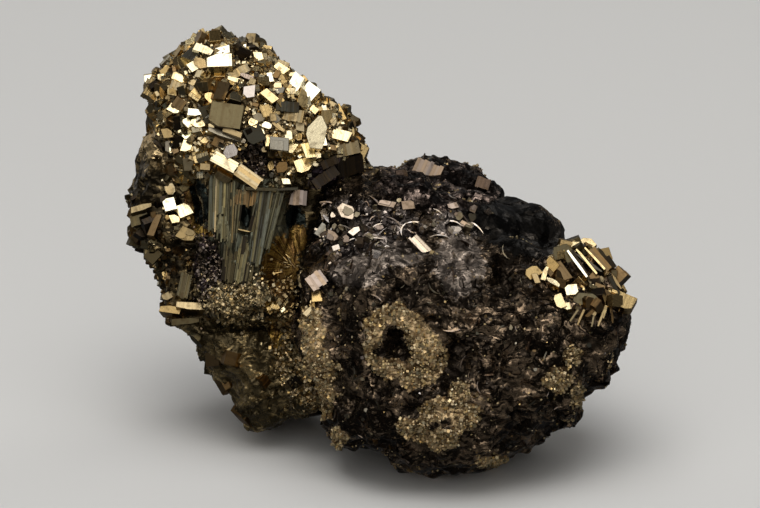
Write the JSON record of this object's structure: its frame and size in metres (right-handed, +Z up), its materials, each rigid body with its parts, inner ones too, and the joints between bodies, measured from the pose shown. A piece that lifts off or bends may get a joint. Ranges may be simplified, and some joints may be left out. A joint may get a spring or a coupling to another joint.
{
  "type": "pyrite mineral specimen",
  "caption": "Natural mineral specimen: a leaning head of pale gold pyrite crystals on a fluted prism, grown together with a lumpy dark sulphide mass, for display or as a rock prop.",
  "frame": {"origin": "on the surface it stands on, below the middle of the specimen's width and depth", "axes": "+Z up, +X along its long side with the pyrite head at -X, +Y away from the display face, which leans back from -Y"},
  "size_m": [0.0791, 0.054, 0.0668],
  "materials": {
    "pyrite": "pale brass-yellow natural pyrite: mirror-bright striated crystal faces among dull olive and brown ones",
    "dark_sulphide": "black-brown massive sulphide with small glinting crystal faces, iridescent brown tarnish and brass specks"
  },
  "bodies": {
    "root": {"pyrite_specimen": "pyrite"}
  },
  "joints": []
}
